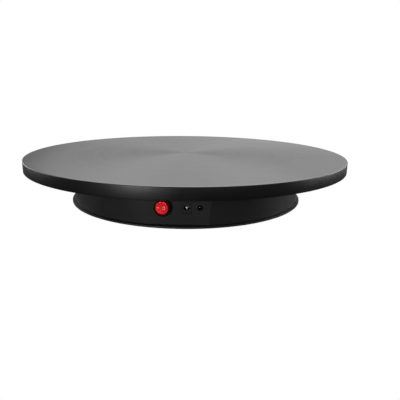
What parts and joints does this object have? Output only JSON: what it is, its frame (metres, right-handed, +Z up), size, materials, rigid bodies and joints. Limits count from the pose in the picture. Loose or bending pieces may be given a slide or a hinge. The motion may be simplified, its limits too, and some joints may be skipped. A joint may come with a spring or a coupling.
{
  "type": "motorised turntable display stand",
  "caption": "Low motorised turntable: a wide round platter turns on a drum base with a rocker switch, power jack and remote receiver.",
  "frame": {"origin": "on the surface it stands on, under the platter's axis", "axes": "+Z up along the platter's axis; -Y is the side of the flat panel with the controls; +X to the right as the panel is faced"},
  "size_m": [0.4199, 0.42, 0.06],
  "materials": {
    "platter_plastic": "fine matt grain, dark grey",
    "housing_plastic": "satin black moulding",
    "plate_plastic": "matt black moulding",
    "foot_rubber": "soft black rubber",
    "rocker_plastic": "glossy red",
    "bezel_plastic": "semi-gloss black",
    "jack_plastic": "black moulding",
    "receiver_epoxy": "dark infrared-passing epoxy",
    "steel": "bright zinc-plated",
    "bearing_steel": "polished",
    "brass": "plain",
    "contact_metal": "tinned",
    "gear_plastic": "natural acetal",
    "roller_plastic": "white nylon",
    "circuit_board": "green solder mask",
    "chip_epoxy": "black moulding",
    "capacitor_sleeve": "shrink sleeve",
    "connector_plastic": "natural nylon",
    "motor_steel": "nickel-plated can",
    "gearbox_metal": "die-cast zinc",
    "red_lead": "vinyl",
    "black_lead": "vinyl",
    "white_lead": "vinyl"
  },
  "bodies": {
    "base": {"bearing_outer_race": "bearing_steel", "base_housing": "housing_plastic", "bottom_plate": "plate_plastic", "bottom_screws": "steel", "foot_1": "foot_rubber", "foot_2": "foot_rubber", "foot_3": "foot_rubber", "foot_4": "foot_rubber", "foot_5": "foot_rubber", "foot_6": "foot_rubber", "roller_axles": "steel", "switch_housing": "bezel_plastic", "switch_terminals": "brass", "jack_body": "jack_plastic", "jack_pin": "contact_metal", "jack_contacts": "contact_metal", "receiver_module": "receiver_epoxy", "receiver_board": "circuit_board", "receiver_screws": "steel", "control_board": "circuit_board", "processor_chip": "chip_epoxy", "driver_chip": "chip_epoxy", "regulator": "chip_epoxy", "capacitor": "capacitor_sleeve", "board_connectors": "connector_plastic", "board_screws": "steel", "motor_can": "motor_steel", "motor_end_cap": "chip_epoxy", "motor_terminals": "brass", "gearbox_housing": "gearbox_metal", "gearbox_cover": "gearbox_metal", "gearbox_screws": "steel", "motor_screws": "steel", "output_bush": "brass", "jack_lead": "black_lead", "switch_lead": "red_lead", "receiver_lead": "white_lead", "motor_lead": "red_lead"},
    "platter": {"platter": "platter_plastic", "ring_gear": "gear_plastic", "ring_gear_screws": "steel", "spindle": "steel", "spindle_screws": "steel", "retaining_washer": "steel", "retaining_screw": "steel", "bearing_inner_race": "bearing_steel"},
    "pinion_shaft": {"output_shaft": "steel", "pinion": "gear_plastic", "pinion_grub_screw": "steel"},
    "bearing_cage": {"bearing_balls": "bearing_steel", "bearing_cage": "brass"},
    "rocker": {"switch_rocker": "rocker_plastic"},
    "roller_1": {"roller_1": "roller_plastic"},
    "roller_2": {"roller_2": "roller_plastic"},
    "roller_3": {"roller_3": "roller_plastic"},
    "roller_4": {"roller_4": "roller_plastic"},
    "roller_5": {"roller_5": "roller_plastic"},
    "roller_6": {"roller_6": "roller_plastic"}
  },
  "joints": [
    {"name": "platter_spin", "type": "hinge", "parent": "base", "child": "platter", "pos_m": [0, 0, 0.05], "axis": [0, 0, 1], "continuous": true},
    {"name": "pinion_spin", "type": "hinge", "parent": "base", "child": "pinion_shaft", "pos_m": [0, 0.075, 0.045], "axis": [0, 0, 1], "continuous": true},
    {"name": "cage_spin", "type": "hinge", "parent": "base", "child": "bearing_cage", "pos_m": [0, 0, 0.0365], "axis": [0, 0, 1], "continuous": true},
    {"name": "switch_rock", "type": "hinge", "parent": "base", "child": "rocker", "pos_m": [-0.0159, -0.1453, 0.0226], "axis": [0, 0, 1], "range_deg": [0, 26]},
    {"name": "roller_1_spin", "type": "hinge", "parent": "base", "child": "roller_1", "pos_m": [0.125, 0, 0.045], "axis": [1, 0, 0], "continuous": true},
    {"name": "roller_2_spin", "type": "hinge", "parent": "base", "child": "roller_2", "pos_m": [0.0625, 0.10825, 0.045], "axis": [0.5, 0.866, 0], "continuous": true},
    {"name": "roller_3_spin", "type": "hinge", "parent": "base", "child": "roller_3", "pos_m": [-0.0625, 0.10825, 0.045], "axis": [-0.5, 0.866, 0], "continuous": true},
    {"name": "roller_4_spin", "type": "hinge", "parent": "base", "child": "roller_4", "pos_m": [-0.125, 0, 0.045], "axis": [-1, 0, 0], "continuous": true},
    {"name": "roller_5_spin", "type": "hinge", "parent": "base", "child": "roller_5", "pos_m": [-0.0625, -0.10825, 0.045], "axis": [-0.5, -0.866, 0], "continuous": true},
    {"name": "roller_6_spin", "type": "hinge", "parent": "base", "child": "roller_6", "pos_m": [0.0625, -0.10825, 0.045], "axis": [0.5, -0.866, 0], "continuous": true}
  ],
  "couplings": [
    {"joint": "pinion_spin", "follows": "platter_spin", "ratio": 6},
    {"joint": "cage_spin", "follows": "platter_spin", "ratio": 0.40385},
    {"joint": "roller_1_spin", "follows": "platter_spin", "ratio": -17.857},
    {"joint": "roller_2_spin", "follows": "platter_spin", "ratio": -17.857},
    {"joint": "roller_3_spin", "follows": "platter_spin", "ratio": -17.857},
    {"joint": "roller_4_spin", "follows": "platter_spin", "ratio": -17.857},
    {"joint": "roller_5_spin", "follows": "platter_spin", "ratio": -17.857},
    {"joint": "roller_6_spin", "follows": "platter_spin", "ratio": -17.857}
  ]
}
